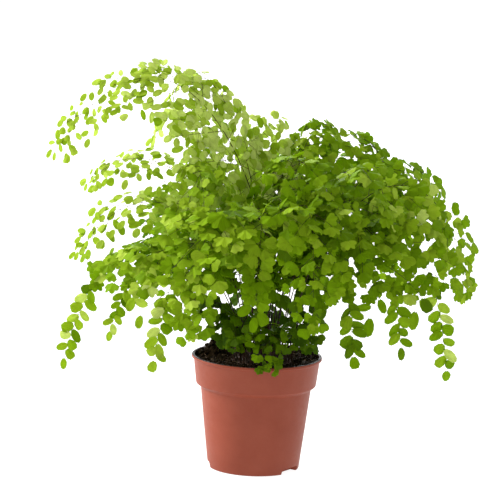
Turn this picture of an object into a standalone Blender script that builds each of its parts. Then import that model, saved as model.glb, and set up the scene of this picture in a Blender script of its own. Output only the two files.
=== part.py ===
"""A potted maidenhair fern, about 0.38 m tall and 0.4 m wide.

The pieces are a thin moulded nursery pot, the peat that fills it, the rhizome that creeps in the
peat's surface, and the fronds that grow from the rhizome, one solid each: a wiry stalk, its side
stalks and the fan-shaped leaflets at their ends.

Metres, +Z up. The origin is the middle of the pot's underside. The fern's best side faces -Y.
"""

import bisect
import math
import random

import bmesh
import bpy
from mathutils import Quaternion, Vector, noise
from mathutils.bvhtree import BVHTree

MM = 0.001
UP = Vector((0, 0, 1))

# ---------------------------------------------------------------- driving dimensions

POT_HEIGHT = 105 * MM
RIM_RADIUS = 60 * MM
LIP_DEPTH = 3 * MM
BAND_TOP_RADIUS = 58.2 * MM
BAND_BOTTOM_RADIUS = 55.2 * MM
BAND_HEIGHT = 26.5 * MM
SHOULDER_DROP = 2.8 * MM
BODY_TOP_RADIUS = 51 * MM
BASE_RADIUS = 42.2 * MM
BASE_ROUNDING = 1.5 * MM
WALL = 1.2 * MM
POT_STEPS = 32

NOTCH_BEARINGS = (-34, 74, 183)
NOTCH_WIDTH = 25 * MM
NOTCH_HEIGHT = 5.5 * MM
NOTCH_DEPTH = 9 * MM
DRAIN_RADIUS = 3.2 * MM

GAP = 0.3 * MM
SOIL_STEPS = 16
SOIL_LEVEL = POT_HEIGHT - 6 * MM
SOIL_ROUGHNESS = 1.6 * MM
SEAT_GAP = 1.5 * MM

CROWN = Vector((6 * MM, 0, 0))
RHIZOME_RADIUS = 35 * MM
RHIZOME_SEAT = POT_HEIGHT - 11 * MM
RHIZOME_RISE = 11.5 * MM
STALK_FOOT = RHIZOME_SEAT + 2.6 * MM
STALK_CLEAR = RHIZOME_SEAT + RHIZOME_RISE + 2.5 * MM

STALK_WIDTH = 1.3 * MM
TIP_WIDTH = 1.0 * MM
BLADE_THICKNESS = 0.75 * MM
LEAFLET = 19.5 * MM

# Each frond: bearing of its tip round the crown in degrees from +X, its foot's distance from the
# crown's centre, how far out its tip is, the height that its shoulder pulls up to, how far out
# that shoulder is as a share of the reach, the tip's height, its longest side stalk, and the twist
# of its leafy plane in degrees. Lengths are in millimetres.
FRONDS = [
    (181, -14, 195, 453, 0.54, 288, 74, -40),
    (150, -6, 108, 414, 0.62, 335, 50, -20),
    (172, 6, 168, 331, 0.62, 256, 50, -35),
    (188, 12, 172, 303, 0.60, 200, 50, -30),
    (199, 22, 190, 283, 0.72, 110, 46, 30),
    (211, 25, 160, 276, 0.72, 140, 46, 20),
    (229, 27, 146, 296, 0.80, 120, 56, 10),
    (244, 26, 144, 326, 0.75, 150, 58, 0),
    (266, 24, 130, 334, 0.78, 166, 58, 0),
    (286, 27, 150, 345, 0.75, 162, 58, 0),
    (306, 28, 134, 290, 0.80, 130, 52, -10),
    (327, 28, 145, 319, 0.80, 134, 58, 6),
    (344, 27, 172, 324, 0.85, 108, 54, 24),
    (0, 24, 184, 355, 0.78, 172, 62, 34),
    (17, 20, 174, 352, 0.71, 212, 58, 35),
    (36, 14, 132, 354, 0.65, 276, 56, 30),
    (52, 8, 98, 354, 0.60, 300, 56, 15),
    (94, 8, 72, 356, 0.60, 306, 54, 10),
    (334, 12, 124, 355, 0.78, 240, 62, 6),
    (290, 10, 86, 358, 0.75, 262, 60, 0),
    (222, 12, 100, 350, 0.72, 236, 60, -15),
    (160, 10, 116, 388, 0.60, 298, 56, -30),
    (76, 24, 176, 387, 0.72, 186, 64, -10),
    (102, 26, 184, 318, 0.75, 146, 62, 5),
    (127, 24, 178, 294, 0.75, 146, 60, 15),
    (48, 25, 182, 350, 0.78, 160, 64, -15),
    (312, 16, 108, 331, 0.72, 232, 58, 0),
    (274, 18, 64, 165, 0.75, 108, 26, 0),
    (234, 18, 56, 169, 0.70, 126, 28, 0),
    (314, 20, 60, 172, 0.70, 126, 28, 0),
    (182, 20, 60, 173, 0.70, 142, 30, 10),
    (92, 18, 56, 173, 0.70, 124, 28, 0),
]
YOUNG_REACH = 0.07

STIPE = 0.42
SIDE_STALKS = 11
YOUNG_SIDE_STALKS = 6
LONG_REACH = 0.175
KEPT_ON_LONG = (0, 1, 4, 7, 9)
KEPT = (0, 3, 6, 9)
KEPT_ON_YOUNG = (0, 1, 3)
TWO_PAIR_LENGTH = 58 * MM

GREEN = (0.115, 0.245, 0.012)
TERRACOTTA = (0.30, 0.085, 0.045)
PEAT = (0.018, 0.011, 0.007)
RHIZOME_BROWN = (0.035, 0.018, 0.009)

# ---------------------------------------------------------------- scene and helpers


def clear_scene():
    for obj in list(bpy.data.objects):
        bpy.data.objects.remove(obj)


def new_collection(name):
    collection = bpy.data.collections.new(name)
    bpy.context.scene.collection.children.link(collection)
    return collection


def material(name, colour, roughness):
    made = bpy.data.materials.new(name)
    made.use_nodes = True
    shader = made.node_tree.nodes["Principled BSDF"]
    shader.inputs["Base Color"].default_value = (*colour, 1)
    shader.inputs["Roughness"].default_value = roughness
    shader.inputs["Metallic"].default_value = 0
    return made


def object_of(name, bm, collection, surface=None):
    mesh = bpy.data.meshes.new(name)
    bm.to_mesh(mesh)
    bm.free()
    obj = bpy.data.objects.new(name, mesh)
    collection.objects.link(obj)
    if surface:
        mesh.materials.append(surface)
    return obj


def applied(obj):
    """The object with its modifiers made part of its mesh."""
    graph = bpy.context.evaluated_depsgraph_get()
    mesh = bpy.data.meshes.new_from_object(obj.evaluated_get(graph))
    obj.modifiers.clear()
    obj.data = mesh
    return obj


def turned(name, profile, steps, collection, surface=None):
    """A solid turned round Z from (radius, height) points that run down its outer side."""
    bm = bmesh.new()
    points = [bm.verts.new((radius, 0, height)) for radius, height in profile]
    for first, second in zip(points, points[1:]):
        bm.edges.new((first, second))
    obj = object_of(name, bm, collection, surface)
    screw = obj.modifiers.new("Turn", "SCREW")
    screw.steps = screw.render_steps = steps
    screw.use_merge_vertices = True
    screw.merge_threshold = 0.05 * MM
    screw.use_smooth_shade = False
    return applied(obj)


def cut(obj, cutter, operation="DIFFERENCE"):
    """One exact Boolean, applied at once; its cutter is then removed."""
    boolean = obj.modifiers.new("Cut", "BOOLEAN")
    boolean.operation = operation
    boolean.solver = "EXACT"
    boolean.object = cutter
    applied(obj)
    bpy.data.objects.remove(cutter)


def smooth(obj):
    obj.data.shade_smooth()
    obj.data.set_sharp_from_angle(angle=math.radians(40))


# ---------------------------------------------------------------- pot


def wall_profile(inset):
    """(radius, height) points of the pot's outside, top to bottom, moved in by inset."""
    shoulder_top = POT_HEIGHT - BAND_HEIGHT
    return [
        (BAND_TOP_RADIUS - inset, POT_HEIGHT - LIP_DEPTH),
        (BAND_BOTTOM_RADIUS - inset, shoulder_top + inset / 3),
        (BODY_TOP_RADIUS - inset, shoulder_top - SHOULDER_DROP + inset / 3),
    ]


def outside_profile():
    lip = [
        (0, POT_HEIGHT),
        (RIM_RADIUS - 0.8 * MM, POT_HEIGHT),
        (RIM_RADIUS, POT_HEIGHT - 0.9 * MM),
        (RIM_RADIUS, POT_HEIGHT - LIP_DEPTH + 0.6 * MM),
    ]
    base = [(BASE_RADIUS, BASE_ROUNDING), (BASE_RADIUS - BASE_ROUNDING, 0), (0, 0)]
    return lip + wall_profile(0) + base


def cavity_profile(inset, top):
    """The inside of the wall, moved in by inset, from a top height down to the floor."""
    wall = wall_profile(inset)
    slope = (BAND_TOP_RADIUS - BAND_BOTTOM_RADIUS) / (BAND_HEIGHT - LIP_DEPTH)
    wall[0] = (wall[0][0] + (top - wall[0][1]) * slope, top)
    return [(0, top), *wall, (BASE_RADIUS - inset, inset), (0, inset)]


def notch_block(bearing, margin):
    """The space of one raised drain notch at the pot's foot, grown by a margin."""
    bm = bmesh.new()
    bmesh.ops.create_cube(bm, size=1)
    outward = NOTCH_DEPTH + margin + 5 * MM
    height = NOTCH_HEIGHT + margin + 5 * MM
    bmesh.ops.scale(bm, verts=bm.verts, vec=(outward, NOTCH_WIDTH + 2 * margin, height))
    middle = BASE_RADIUS - NOTCH_DEPTH - margin + outward / 2
    bmesh.ops.translate(
        bm, verts=bm.verts, vec=(middle, 0, NOTCH_HEIGHT + margin - height / 2)
    )
    along = [
        edge
        for edge in bm.edges
        if abs(edge.verts[0].co.x - edge.verts[1].co.x) > outward / 2
        and edge.verts[0].co.z > 0
    ]
    bmesh.ops.bevel(bm, geom=along, offset=3 * MM + margin, segments=2, affect="EDGES", profile=0.5)
    turn = Quaternion(UP, math.radians(bearing)).to_matrix()
    bmesh.ops.rotate(bm, verts=bm.verts, cent=(0, 0, 0), matrix=turn)
    return object_of("notch block", bm, bpy.context.scene.collection)


def drain_hole(bearing):
    bm = bmesh.new()
    bmesh.ops.create_cone(
        bm, cap_ends=True, segments=8, radius1=DRAIN_RADIUS, radius2=DRAIN_RADIUS, depth=20 * MM
    )
    place = Quaternion(UP, math.radians(bearing)) @ Vector((BASE_RADIUS - NOTCH_DEPTH / 2 - WALL, 0, 0))
    bmesh.ops.translate(bm, verts=bm.verts, vec=place)
    return object_of("drain hole", bm, bpy.context.scene.collection)


def make_pot(collection):
    surface = material("terracotta_plastic", TERRACOTTA, 0.38)
    pot = turned("pot", outside_profile(), POT_STEPS, collection, surface)
    hollow = turned(
        "hollow", cavity_profile(WALL, POT_HEIGHT + 5 * MM), POT_STEPS, bpy.context.scene.collection
    )
    for bearing in NOTCH_BEARINGS:
        cut(hollow, notch_block(bearing, WALL))
    cut(pot, hollow)
    for bearing in NOTCH_BEARINGS:
        cut(pot, notch_block(bearing, 0))
        cut(pot, drain_hole(bearing))
    smooth(pot)
    return pot


# ---------------------------------------------------------------- soil and rhizome


def soil_height(x, y):
    """Height of the peat's uneven surface: lumps, and a mound behind the crown on its left."""
    lumps = SOIL_ROUGHNESS * noise.noise(Vector((x, y, 0)) / (11 * MM))
    mound = 6 * MM * math.exp(-((x + 30 * MM) ** 2 + (y - 32 * MM) ** 2) / (15 * MM) ** 2)
    return SOIL_LEVEL + lumps + mound


def make_soil(collection):
    surface = material("peat", PEAT, 1.0)
    inset = WALL + GAP
    profile = cavity_profile(inset, SOIL_LEVEL)
    rings = [(radius * MM, SOIL_LEVEL) for radius in (12, 34, 43, 51)]
    profile = [profile[0], *rings, *profile[1:]]
    soil = turned("soil", profile, SOIL_STEPS, collection, surface)
    for vertex in soil.data.vertices:
        if vertex.co.z > SOIL_LEVEL - 0.1 * MM and vertex.co.xy.length < 53 * MM:
            vertex.co.z = soil_height(vertex.co.x, vertex.co.y)
    for bearing in NOTCH_BEARINGS:
        cut(soil, notch_block(bearing, WALL + GAP))
    bm = bmesh.new()
    bmesh.ops.create_cone(
        bm,
        cap_ends=True,
        segments=20,
        radius1=RHIZOME_RADIUS + SEAT_GAP,
        radius2=RHIZOME_RADIUS + SEAT_GAP,
        depth=40 * MM,
    )
    bmesh.ops.translate(bm, verts=bm.verts, vec=(CROWN.x, CROWN.y, RHIZOME_SEAT - GAP + 20 * MM))
    cut(soil, object_of("seat", bm, bpy.context.scene.collection))
    return soil


def make_rhizome(collection):
    """A low knobbly mound, with one plain hole for each frond's foot."""
    surface = material("rhizome", RHIZOME_BROWN, 0.95)
    bm = bmesh.new()
    bmesh.ops.create_uvsphere(bm, u_segments=16, v_segments=8, radius=1)
    bmesh.ops.scale(bm, verts=bm.verts, vec=(RHIZOME_RADIUS, RHIZOME_RADIUS, RHIZOME_RISE))
    whole = list(bm.verts) + list(bm.edges) + list(bm.faces)
    cut_plane = bmesh.ops.bisect_plane(
        bm, geom=whole, plane_co=(0, 0, 0.01 * MM), plane_no=(0, 0, 1), clear_inner=True
    )
    rim = [item for item in cut_plane["geom_cut"] if isinstance(item, bmesh.types.BMEdge)]
    bmesh.ops.edgenet_fill(bm, edges=rim)
    for vertex in bm.verts:
        knob = noise.noise(vertex.co / (9 * MM))
        if vertex.co.z > 1 * MM:
            vertex.co.z *= 0.93 + 0.1 * knob
    bmesh.ops.translate(bm, verts=bm.verts, vec=(CROWN.x, CROWN.y, RHIZOME_SEAT))
    bmesh.ops.recalc_face_normals(bm, faces=bm.faces)
    rhizome = object_of("rhizome", bm, collection, surface)
    holes = bmesh.new()
    for frond in FRONDS:
        stalk = Frond(frond)
        made = bmesh.ops.create_cube(holes, size=1)["verts"]
        bmesh.ops.scale(holes, verts=made, vec=(2.1 * MM, 2.1 * MM, 30 * MM))
        turn = Quaternion(UP, stalk.bearing).to_matrix()
        bmesh.ops.rotate(holes, verts=made, cent=(0, 0, 0), matrix=turn)
        middle = STALK_FOOT - GAP + 15 * MM
        bmesh.ops.translate(holes, verts=made, vec=(stalk.foot.x, stalk.foot.y, middle))
    cut(rhizome, object_of("stalk holes", holes, bpy.context.scene.collection))
    return rhizome


# ---------------------------------------------------------------- the form of a frond


class Frond:
    """The curve of one frond's stalk and where its side stalks leave it."""

    def __init__(self, row):
        bearing, foot, reach, shoulder, hook, tip, spread, twist = row
        self.bearing = math.radians(bearing)
        self.twist = math.radians(twist)
        self.reach = reach * MM
        self.spread = spread * MM
        self.young = self.reach < YOUNG_REACH
        self.long = self.reach > LONG_REACH
        self.outward = Vector((math.cos(self.bearing), math.sin(self.bearing), 0))
        self.across = UP.cross(self.outward)
        self.foot = CROWN + self.outward * foot * MM + UP * STALK_CLEAR
        rise = shoulder * MM - STALK_CLEAR
        reach_beyond = (reach - foot) * MM
        self.controls = (
            (0, 0),
            (0.06 * reach_beyond, 0.55 * rise),
            (hook * reach_beyond, rise),
            (reach_beyond, tip * MM - STALK_CLEAR),
        )
        draw = random.Random(bearing * 7 + reach)
        self.bow = draw.uniform(-0.06, 0.06) * self.reach
        self.count = YOUNG_SIDE_STALKS if self.young else SIDE_STALKS
        self.swings = [math.radians(draw.uniform(-7, 7)) for _ in range(self.count)]
        self.lengths = [draw.uniform(0.85, 1.12) for _ in range(self.count)]
        self.droops = [draw.uniform(0.12, 0.34) for _ in range(self.count)]
        self.marks = [0.0]
        places = [self.bezier(step / 60) for step in range(61)]
        for first, second in zip(places, places[1:]):
            self.marks.append(self.marks[-1] + (second - first).length)
        self.length = self.marks[-1]

    def bezier(self, t):
        """A cubic Bezier in the frond's upright plane, bowed a little to one side."""
        weights = ((1 - t) ** 3, 3 * t * (1 - t) ** 2, 3 * t * t * (1 - t), t**3)
        out = sum(w * c[0] for w, c in zip(weights, self.controls))
        up = sum(w * c[1] for w, c in zip(weights, self.controls))
        bow = self.bow * t * math.sin(math.pi * t)
        return self.foot + self.outward * out + UP * up + self.across * bow

    def point(self, share):
        """The point of the stalk at a share of its length."""
        wanted = share * self.length
        step = min(max(bisect.bisect_right(self.marks, wanted) - 1, 0), 59)
        part = (wanted - self.marks[step]) / (self.marks[step + 1] - self.marks[step])
        return self.bezier((step + part) / 60)

    def frame(self, t):
        """(point, tangent, left, normal) at a share of the length, twisted with the leafy part."""
        step = 0.004
        tangent = (self.point(t + step) - self.point(t - step)).normalized()
        normal = tangent.cross(self.across).normalized()
        turn = Quaternion(tangent, self.twist * min(1, t / STIPE))
        normal.rotate(turn)
        return self.point(t), tangent, normal.cross(tangent), normal

    def side_stalk(self, number):
        """(t on the stalk, side, length, angle from the stalk, droop) of one side stalk."""
        share = (number + 0.5) / self.count
        t = STIPE + (0.97 - STIPE) * share
        side = 1 if number % 2 == 0 else -1
        length = self.spread * (1 - 0.8 * share) * self.lengths[number]
        angle = math.radians(64 - 24 * share) + self.swings[number]
        return t, side, length, angle, self.droops[number]


def side_point(frond, stalk, share):
    """A point on a side stalk, and its tangent, at a share of its length."""
    t, side, length, angle, droop = stalk
    start, tangent, left, _ = frond.frame(t)
    heading = tangent * math.cos(angle) + left * side * math.sin(angle)
    run = share * length
    bend = tangent * 0.15 - UP * (droop + 0.45 * max(0, heading.z))
    point = start + heading * run + bend * run * share
    return point, (heading + bend * 2 * share).normalized()


# ---------------------------------------------------------------- clearance between pieces


def prism(outline, normal, half):
    """Corners and faces of a flat outline made thick."""
    count = len(outline)
    corners = [p + normal * half for p in outline] + [p - normal * half for p in outline]
    sides = [(i, (i + 1) % count, (i + 1) % count + count, i + count) for i in range(count)]
    faces = [tuple(range(count)), tuple(range(2 * count - 1, count - 1, -1)), *sides]
    return corners, faces


class Clearance:
    """Everything placed so far, each with the owner that it may touch."""

    MARGIN = 0.6 * MM

    def __init__(self):
        self.placed = []

    def shape(self, corners, faces):
        low = Vector(map(min, zip(*corners)))
        high = Vector(map(max, zip(*corners)))
        return low, high, BVHTree.FromPolygons(corners, faces)

    def add(self, owner, corners, faces):
        self.placed.append((owner, *self.shape(corners, faces)))

    def free(self, owner, corners, faces):
        low, high, tree = self.shape(corners, faces)
        for other, other_low, other_high, other_tree in self.placed:
            if other == owner or other == owner[0]:
                continue
            if any(high[i] < other_low[i] or low[i] > other_high[i] for i in range(3)):
                continue
            if tree.overlap(other_tree):
                return False
        return True

    def add_object(self, obj):
        faces = [tuple(polygon.vertices) for polygon in obj.data.polygons]
        corners = [vertex.co.copy() for vertex in obj.data.vertices]
        self.add(obj.name, corners, faces)


# ---------------------------------------------------------------- growing a frond


def grow(bm, pair, centre, half):
    """Extrudes the edge between a left and a right vertex to a new edge round centre."""
    edge = bm.edges.get(pair)
    made = bmesh.ops.extrude_edge_only(bm, edges=[edge])["geom"]
    fresh = [item for item in made if isinstance(item, bmesh.types.BMVert)]
    left = next(v for v in fresh if bm.edges.get((v, pair[0])))
    right = next(v for v in fresh if v is not left)
    left.co = centre - half
    right.co = centre + half
    return left, right


def stalk_piece(start, end, left, normal, width):
    """The clearance prism of one straight length of stalk."""
    half = left * (width / 2 + Clearance.MARGIN / 2)
    outline = [start + half, start - half, end - half, end + half]
    return prism(outline, normal, BLADE_THICKNESS / 2 + Clearance.MARGIN / 2)


def grow_stalk(bm, frond, clearance):
    """The stalk from foot to tip; gives the pair of vertices at each kept side stalk."""
    point, _, left, _ = frond.frame(0)
    bottom = Vector((frond.foot.x, frond.foot.y, STALK_FOOT))
    half = -left * STALK_WIDTH / 2
    pair = (bm.verts.new(bottom - half), bm.verts.new(bottom + half))
    bm.edges.new(pair)
    nodes = {}
    kept = KEPT_ON_YOUNG if frond.young else KEPT_ON_LONG if frond.long else KEPT
    stops = [(0, None), (0.26, None)]
    for number in kept:
        t = frond.side_stalk(number)[0]
        step = 0.8 * MM / frond.length
        stops += [(t - step, None), (t + step, number)]
    stops += [(0.955, None), (0.955 + 1.5 * MM / frond.length, "tip"), (1, None)]
    last = bottom
    for t, number in stops:
        point, _, left, normal = frond.frame(t)
        width = STALK_WIDTH + (TIP_WIDTH - STALK_WIDTH) * t
        before = pair
        pair = grow(bm, pair, point, -left * width / 2)
        clearance.add(frond, *stalk_piece(last, point, left, normal, width))
        last = point
        if number == "tip":
            tip_pairs = [(before[0], pair[0]), (pair[1], before[1])]
        elif number is not None:
            side = frond.side_stalk(number)[1]
            nodes[number] = (before[0], pair[0]) if side > 0 else (pair[1], before[1])
    return nodes, [*tip_pairs, pair]


def fan_headings(tangent, normal):
    """Ways that the leaflets of a pair and of an end point."""
    left = normal.cross(tangent).normalized()
    lean = math.radians(66)
    pair = [tangent * math.cos(lean) + left * side * math.sin(lean) for side in (1, -1)]
    return [*pair, tangent]


def grow_side_stalk(bm, frond, number, pair, clearance):
    """A side stalk; gives (edge, heading) for each leaflet on it, or None where it would cross."""
    stalk = frond.side_stalk(number)
    t, side, length, angle, droop = stalk
    normal = frond.frame(t)[3]
    node_shares = (0.38, 0.68) if length > TWO_PAIR_LENGTH else (0.56,)
    for swing in (0, 9, -9, 18, -18):
        tried = (t, side, length, angle + math.radians(swing), droop)
        stations = [side_point(frond, tried, share) for share in (0.1, *node_shares, 0.88)]
        shapes = []
        for (start, _), (end, tangent) in zip(stations, stations[1:]):
            left = normal.cross(tangent).normalized()
            shapes.append(stalk_piece(start, end, left, normal, TIP_WIDTH))
        if all(clearance.free((frond, number), *shape) for shape in shapes):
            break
    else:
        return None
    for shape in shapes:
        clearance.add((frond, number), *shape)

    def grow_to(last, share):
        point, tangent = side_point(frond, tried, share)
        half = normal.cross(tangent).normalized() * TIP_WIDTH / 2
        return grow(bm, last, point, -half), fan_headings(tangent, normal)

    leaflets = []
    half_gap = 0.75 * MM / length
    for share in node_shares:
        first, _ = grow_to(pair, share - half_gap)
        pair, headings = grow_to(first, share + half_gap)
        leaflets.append(((first[0], pair[0]), headings[0]))
        leaflets.append(((pair[1], first[1]), headings[1]))
    pair, headings = grow_to(pair, 0.88)
    leaflets.append((pair, headings[2]))
    return leaflets


def fan_outline(base_left, base_right, heading, normal, size):
    """The seven corners of a two-lobed fan that narrows to its base."""
    base = (base_left + base_right) / 2
    left = normal.cross(heading)

    def at(share, degrees):
        angle = math.radians(degrees)
        return base + (heading * math.cos(angle) + left * math.sin(angle)) * share * size

    outer = [at(0.74, 47), at(1.0, 21), at(0.84, 0), at(1.0, -21), at(0.74, -47)]
    return [base_left, *outer, base_right]


def add_leaflet(bm, owner, pair, heading, normal, size, clearance):
    """Grows one fan from a pair of vertices, tilted until it is clear; drops it if it never is."""
    base_left, base_right = (vertex.co.copy() for vertex in pair)
    base = (base_left + base_right) / 2
    for shrink in (1, 0.8):
        for roll, pitch in ((0, 0), (25, 0), (-25, 0), (0, 22), (0, -18), (40, 12), (-40, 12)):
            way = heading.normalized()
            left = normal.cross(way).normalized()
            way = Quaternion(left, math.radians(pitch)) @ way
            face = Quaternion(left, math.radians(pitch)) @ normal
            face = Quaternion(way, math.radians(roll)) @ face
            face = (face - way * face.dot(way)).normalized()
            outline = fan_outline(base_left, base_right, way, face, size * shrink)
            grown = [base + (p - base) * 1.04 for p in outline[1:-1]]
            stub = [base + (p - base) * 0.22 for p in (outline[1], outline[-2])]
            shape = prism(
                [stub[0], *grown, stub[1]], face, BLADE_THICKNESS / 2 + Clearance.MARGIN / 2
            )
            if clearance.free(owner, *shape):
                break
        else:
            continue
        break
    else:
        return False
    clearance.add(owner, *shape)
    left, right = grow(bm, pair, base, Vector())
    left.co, right.co = outline[1], outline[-2]
    last = left
    for share, place in zip((0.25, 1 / 3, 0.5), outline[2:-2]):
        _, last = bmesh.utils.edge_split(bm.edges.get((last, right)), last, share)
        last.co = place
    return True


def make_fronds(collection, obstacles):
    surface = material("fern_leaf", GREEN, 0.5)
    clearance = Clearance()
    for obstacle in obstacles:
        clearance.add_object(obstacle)
    fronds = [Frond(row) for row in FRONDS]
    meshes = [bmesh.new() for _ in fronds]
    grown = [grow_stalk(bm, frond, clearance) for bm, frond in zip(meshes, fronds)]
    leaflets = []
    for bm, frond, (nodes, _) in zip(meshes, fronds, grown):
        for number, pair in nodes.items():
            ends = grow_side_stalk(bm, frond, number, pair, clearance) or []
            normal = frond.frame(frond.side_stalk(number)[0])[3]
            share = 1 - 0.25 * number / frond.count
            leaflets += [(bm, (frond, number), *end, normal, LEAFLET * share) for end in ends]
    for bm, frond, (_, tips) in zip(meshes, fronds, grown):
        _, tangent, _, normal = frond.frame(0.99)
        for pair, heading in zip(tips, fan_headings(tangent, normal)):
            leaflets.append((bm, (frond, "tip"), pair, heading, normal, LEAFLET * 0.75))
    for leaflet in leaflets:
        add_leaflet(*leaflet, clearance)
    made = []
    for index, bm in enumerate(meshes, 1):
        bmesh.ops.recalc_face_normals(bm, faces=bm.faces)
        bmesh.ops.triangulate(bm, faces=bm.faces)
        obj = object_of(f"frond_{index:02d}", bm, collection, surface)
        solidify = obj.modifiers.new("Thickness", "SOLIDIFY")
        solidify.thickness = BLADE_THICKNESS
        solidify.offset = 0
        made.append(obj)
    return made


def main():
    clear_scene()
    collection = new_collection("Potted maidenhair fern")
    pot = make_pot(collection)
    soil = make_soil(collection)
    rhizome = make_rhizome(collection)
    make_fronds(collection, [pot, soil])


main()
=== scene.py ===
"""A maidenhair fern in a moulded nursery pot: the dressed model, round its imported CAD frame.

Everything is in metres in the CAD's frame: +Z is up, the origin is the middle of the pot's underside, and
the plant's best side faces -Y.
"""

import bisect
import math
import random

import bmesh
import bpy
from mathutils import Matrix, Quaternion, Vector, noise


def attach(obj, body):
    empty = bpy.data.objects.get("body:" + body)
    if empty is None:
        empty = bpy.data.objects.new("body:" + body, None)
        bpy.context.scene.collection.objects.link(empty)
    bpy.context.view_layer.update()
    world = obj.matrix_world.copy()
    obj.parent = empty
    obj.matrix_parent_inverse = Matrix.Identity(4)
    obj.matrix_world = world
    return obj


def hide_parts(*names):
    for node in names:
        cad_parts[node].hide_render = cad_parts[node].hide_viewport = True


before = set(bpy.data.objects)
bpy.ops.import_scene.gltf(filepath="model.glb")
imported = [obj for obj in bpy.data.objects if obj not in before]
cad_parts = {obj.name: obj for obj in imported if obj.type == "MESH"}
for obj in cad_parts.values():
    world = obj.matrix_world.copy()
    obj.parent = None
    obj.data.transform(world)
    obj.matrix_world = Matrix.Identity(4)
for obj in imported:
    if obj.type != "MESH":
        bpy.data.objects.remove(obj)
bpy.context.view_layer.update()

MM = 0.001
UP = Vector((0, 0, 1))

# ================================================================ studio
# Matt white paper under the plant, far out to every side. One big soft lamp stands at the upper left and a
# little behind, a weaker one at the right, and a wide one far behind shines through the leaves. Even white
# light comes from all round.


def add_node(tree, kind, inputs=None, **settings):
    """A new node with its settings; each input takes a value or is linked to another node's output."""
    made = tree.nodes.new("ShaderNode" + kind)
    for name, value in settings.items():
        setattr(made, name, value)
    for key, value in (inputs or {}).items():
        if isinstance(value, bpy.types.NodeSocket):
            tree.links.new(value, made.inputs[key])
        else:
            made.inputs[key].default_value = value
    return made


def linear(hex_colour):
    """The linear colour, with alpha, of an sRGB hex value."""
    channels = [int(hex_colour[i : i + 2], 16) / 255 for i in (1, 3, 5)]
    return (*[c / 12.92 if c <= 0.04045 else ((c + 0.055) / 1.055) ** 2.4 for c in channels], 1)


def new_tree(name):
    """An empty material of that name, and its node tree."""
    made = bpy.data.materials.new(name)
    made.use_nodes = True
    made.node_tree.nodes.clear()
    return made, made.node_tree


def soft_lamp(name, place, target, size, power, tint):
    lamp = bpy.data.lights.new(name, "AREA")
    lamp.shape = "DISK"
    lamp.size = size
    lamp.energy = power
    lamp.color = linear(tint)[:3]
    stand = bpy.data.objects.new(name, lamp)
    stand.location = place
    stand.rotation_euler = (Vector(target) - Vector(place)).to_track_quat("-Z", "Y").to_euler()
    bpy.context.scene.collection.objects.link(stand)


PAPER_SIZE = 90
bpy.ops.object.select_all(action="DESELECT")
bpy.ops.mesh.primitive_plane_add(size=PAPER_SIZE, location=(0, 0, 0))
paper = bpy.context.object
paper.name = "paper_sweep"

# Matt background paper: no gloss, and lit so brightly that it burns out to white.
paper_material, tree = new_tree("white_background_paper")
shader = add_node(
    tree,
    "BsdfPrincipled",
    {
        "Base Color": linear("#8c8c8c"),
        "Roughness": 1.0,
        "Specular IOR Level": 0.0,
        "Emission Color": linear("#ffffff"),
        "Emission Strength": 0.92,
    },
)
add_node(tree, "OutputMaterial", {"Surface": shader.outputs[0]})
paper.data.materials.append(paper_material)

soft_lamp("left_soft_lamp", (-1.8, 0.35, 1.35), (0, 0, 0.2), 1.1, 84, "#fffdf8")
soft_lamp("right_soft_lamp", (1.7, 0.8, 1.1), (0, 0, 0.2), 0.9, 9, "#fbfdff")
soft_lamp("back_soft_lamp", (-0.3, 3.0, 1.6), (0, 0, 0.2), 2.4, 150, "#ffffff")

world = bpy.data.worlds.new("studio_light")
world.use_nodes = True
world.node_tree.nodes["Background"].inputs["Color"].default_value = linear("#ffffff")
world.node_tree.nodes["Background"].inputs["Strength"].default_value = 0.62
bpy.context.scene.world = world
bpy.context.scene.view_settings.view_transform = "Standard"

CAMERA_PLACE = Vector((0, -2.6, 0.634))
CAMERA_AIM = Vector((-0.0098, 0, 0.2026))
CAMERA_ROLL = math.radians(2)
lens = bpy.data.cameras.new("camera")
lens.lens = 207.2
lens.clip_end = 100
camera = bpy.data.objects.new("camera", lens)
camera.location = CAMERA_PLACE
camera.rotation_euler = (
    (CAMERA_AIM - CAMERA_PLACE).to_track_quat("-Z", "Y") @ Quaternion((0, 0, 1), CAMERA_ROLL)
).to_euler()
bpy.context.scene.collection.objects.link(camera)
bpy.context.scene.camera = camera

# ================================================================ pot
# A thin nursery pot, injection-moulded in one shot of terracotta-coloured polypropylene: a deep straight
# rim band with a small rolled lip, a shoulder under it, a tapered body, and three arched drain notches at
# its foot.

POT_HEIGHT = 105 * MM
RIM_RADIUS = 60 * MM
LIP_DEPTH = 3 * MM
BAND_TOP_RADIUS = 58.2 * MM
BAND_BOTTOM_RADIUS = 55.2 * MM
BAND_HEIGHT = 26.5 * MM
SHOULDER_DROP = 2.8 * MM
BODY_TOP_RADIUS = 51 * MM
BASE_RADIUS = 42.2 * MM
WALL = 1.2 * MM
POT_SIDES = 128
NOTCH_BEARINGS = (-34, 74, 183)
NOTCH_WIDTH = 25 * MM
NOTCH_HEIGHT = 5.5 * MM
NOTCH_DEPTH = 9 * MM
DRAIN_RADIUS = 3.2 * MM
# Painted shade on the inward and upward faces of the pot's wall starts at this height.
INNER_SHADE_FOOT = POT_HEIGHT - 9 * MM


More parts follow.
